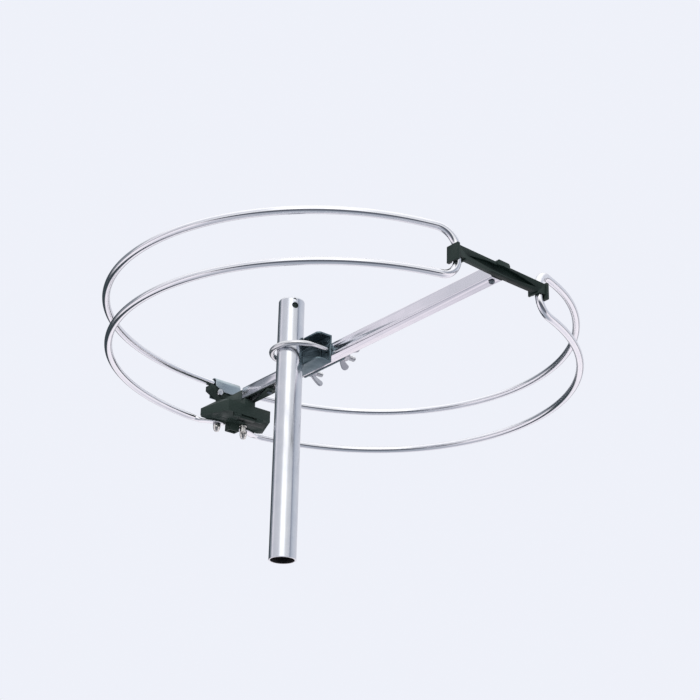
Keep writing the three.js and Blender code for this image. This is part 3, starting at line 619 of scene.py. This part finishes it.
# Tones by the sine of the elevation, on the camera's side and on the far side of the part.
NEAR_SIDE = [
    (-1.0, (0.34, 0.38, 0.44)), (-0.80, (0.16, 0.18, 0.22)), (-0.35, (0.08, 0.09, 0.11)),
    (-0.22, (0.16, 0.17, 0.20)), (-0.10, (0.85, 0.85, 0.87)), (0.03, (1.0, 1.0, 1.02)),
    (0.6, (1.08, 1.08, 1.10)), (1.0, (1.15, 1.15, 1.17)),
]
FAR_SIDE = [
    (-1.0, (0.34, 0.38, 0.44)), (-0.78, (0.60, 0.60, 0.66)), (-0.55, (0.86, 0.83, 0.90)),
    (-0.30, (1.02, 0.97, 1.02)), (-0.12, (0.90, 0.87, 0.92)), (-0.05, (0.25, 0.25, 0.28)),
    (0.05, (0.25, 0.25, 0.28)), (0.12, (0.80, 0.79, 0.83)), (0.35, (0.72, 0.71, 0.75)),
    (0.41, (0.40, 0.40, 0.43)), (0.48, (0.80, 0.80, 0.83)), (0.62, (1.02, 1.02, 1.04)),
    (1.0, (1.15, 1.15, 1.17)),
]
# A dark card stands behind the part, to the left of the boom's feed end.
OFF, ON = (0, 0, 0), (1, 1, 1)
CARD_BEARINGS = [(-180, ON), (-167, ON), (-161, OFF), (157, OFF), (164, ON)]
CARD_HEIGHTS = [(-0.86, OFF), (-0.76, ON), (0.48, ON), (0.60, OFF)]
CARD_TONE = (0.045, 0.06, 0.07, 1)
BACKDROP_TONE = (0.86, 0.88, 0.95, 1)  # what the camera itself sees behind the part
BELT = [(0.52, 0), (0.56, 1), (0.79, 1), (0.88, 0)]  # share of the bearings, from nadir 0 to zenith 1
FAR_BEARING = math.radians(143)
FAR_FROM, FAR_TO = -0.52, -0.38  # where the near side's tones give way to the far side's

world = bpy.data.worlds.new("studio")
scene.world = world
world.use_nodes = True
tree = world.node_tree


def world_node(kind, inputs, operation=None):
    """A node of the world's tree; inputs maps a socket to a value or to another node's output."""
    made = tree.nodes.new(kind)
    if operation:
        made.operation = operation
    for key, value in inputs.items():
        if isinstance(value, bpy.types.NodeSocket):
            tree.links.new(value, made.inputs[key])
        else:
            made.inputs[key].default_value = value
    return made


def stretch(value, low, high):
    """value, stretched from [low, high] to [0, 1]."""
    inputs = {"Value": value, "From Min": low, "From Max": high}
    return world_node("ShaderNodeMapRange", inputs).outputs["Result"]


def ramp(value, stops, low, high):
    """A colour ramp over value, with its stops given between low and high."""
    colours = world_node("ShaderNodeValToRGB", {"Fac": stretch(value, low, high)})
    elements = colours.color_ramp.elements
    while len(elements) < len(stops):
        elements.new(0.5)
    for element, (at, tone) in zip(elements, stops):
        element.position = (at - low) / (high - low)
        element.color = (*tone, 1)
    return colours.outputs["Color"]


def blend(share, first, second):
    """Colours first and second, mixed by share."""
    mixer = tree.nodes.new("ShaderNodeMix")
    mixer.data_type = "RGBA"
    tree.links.new(share, mixer.inputs["Factor"])
    for socket, colour in ((mixer.inputs[6], first), (mixer.inputs[7], second)):
        if isinstance(colour, tuple):
            socket.default_value = colour
        else:
            tree.links.new(colour, socket)
    return mixer.outputs[2]


def bearing_stops(stops):
    return [(math.radians(degrees), tone) for degrees, tone in stops]


direction = tree.nodes.new("ShaderNodeTexCoord").outputs["Generated"]
parts = world_node("ShaderNodeSeparateXYZ", {"Vector": direction})
height = parts.outputs["Z"]
plane = {0: parts.outputs["Y"], 1: parts.outputs["X"]}
bearing = world_node("ShaderNodeMath", plane, "ARCTAN2").outputs[0]
away = (math.cos(FAR_BEARING), math.sin(FAR_BEARING), 0)
beyond = world_node("ShaderNodeVectorMath", {0: direction, 1: away}, "DOT_PRODUCT").outputs["Value"]
far_share = stretch(beyond, FAR_FROM, FAR_TO)
by_height = blend(far_share, ramp(height, NEAR_SIDE, -1, 1), ramp(height, FAR_SIDE, -1, 1))

# The bearings matter in a belt above the horizon; the heights everywhere else.
belt = world_node("ShaderNodeFloatCurve", {"Value": stretch(height, -1, 1)})
curve = belt.mapping.curves[0]
for at, strength in BELT:
    curve.points.new(at, strength)
curve.points[0].location = (0, 0)
curve.points[-1].location = (1, 0)
for point in curve.points:
    point.handle_type = "VECTOR"
belt.mapping.update()
by_bearing = ramp(bearing, bearing_stops(BEARINGS), -math.pi, math.pi)
mixed = blend(belt.outputs["Value"], by_height, by_bearing)

card_across = ramp(bearing, bearing_stops(CARD_BEARINGS), -math.pi, math.pi)
card_upright = ramp(height, CARD_HEIGHTS, -1, 1)
card_share = world_node("ShaderNodeMath", {0: card_across, 1: card_upright}, "MULTIPLY").outputs[0]
carded = blend(card_share, mixed, CARD_TONE)
straight = tree.nodes.new("ShaderNodeLightPath").outputs["Is Camera Ray"]
tree.links.new(blend(straight, carded, BACKDROP_TONE), tree.nodes["Background"].inputs["Color"])


def softbox(name, at, power):
    """A large soft light aimed at the ring's centre, not mirrored by the metals."""
    data = bpy.data.lights.new(name, "AREA")
    data.shape = "RECTANGLE"
    data.size = data.size_y = 1.4
    data.energy = power
    light = bpy.data.objects.new(name, data)
    scene.collection.objects.link(light)
    light.location = at
    light.rotation_mode = "QUATERNION"
    light.rotation_quaternion = (HEAD - Vector(at)).to_track_quat("-Z", "Y")
    light.visible_glossy = False


softbox("key_light", (0.4, -2.4, 1.8), 28)
softbox("fill_light", (2.2, 0.6, -0.6), 10)

# Pale floor, well below the hung part.
bpy.ops.mesh.primitive_grid_add(x_subdivisions=8, y_subdivisions=8, size=16, location=(0, 0, -1.3))
floor = bpy.context.active_object
floor.name = "floor"
floor.visible_glossy = False
floor_graph = Graph("pale_floor")
floor_tone = floor_graph.span(floor_graph.noise(1.5), 0, 1)
floor.data.materials.append(
    floor_graph.finish(
        floor_graph.mix(floor_tone, (0.84, 0.85, 0.87), (0.80, 0.81, 0.84)),
        floor_graph.span(floor_tone, 0.6, 0.7, 0, 1),
        0.0,
    )
)
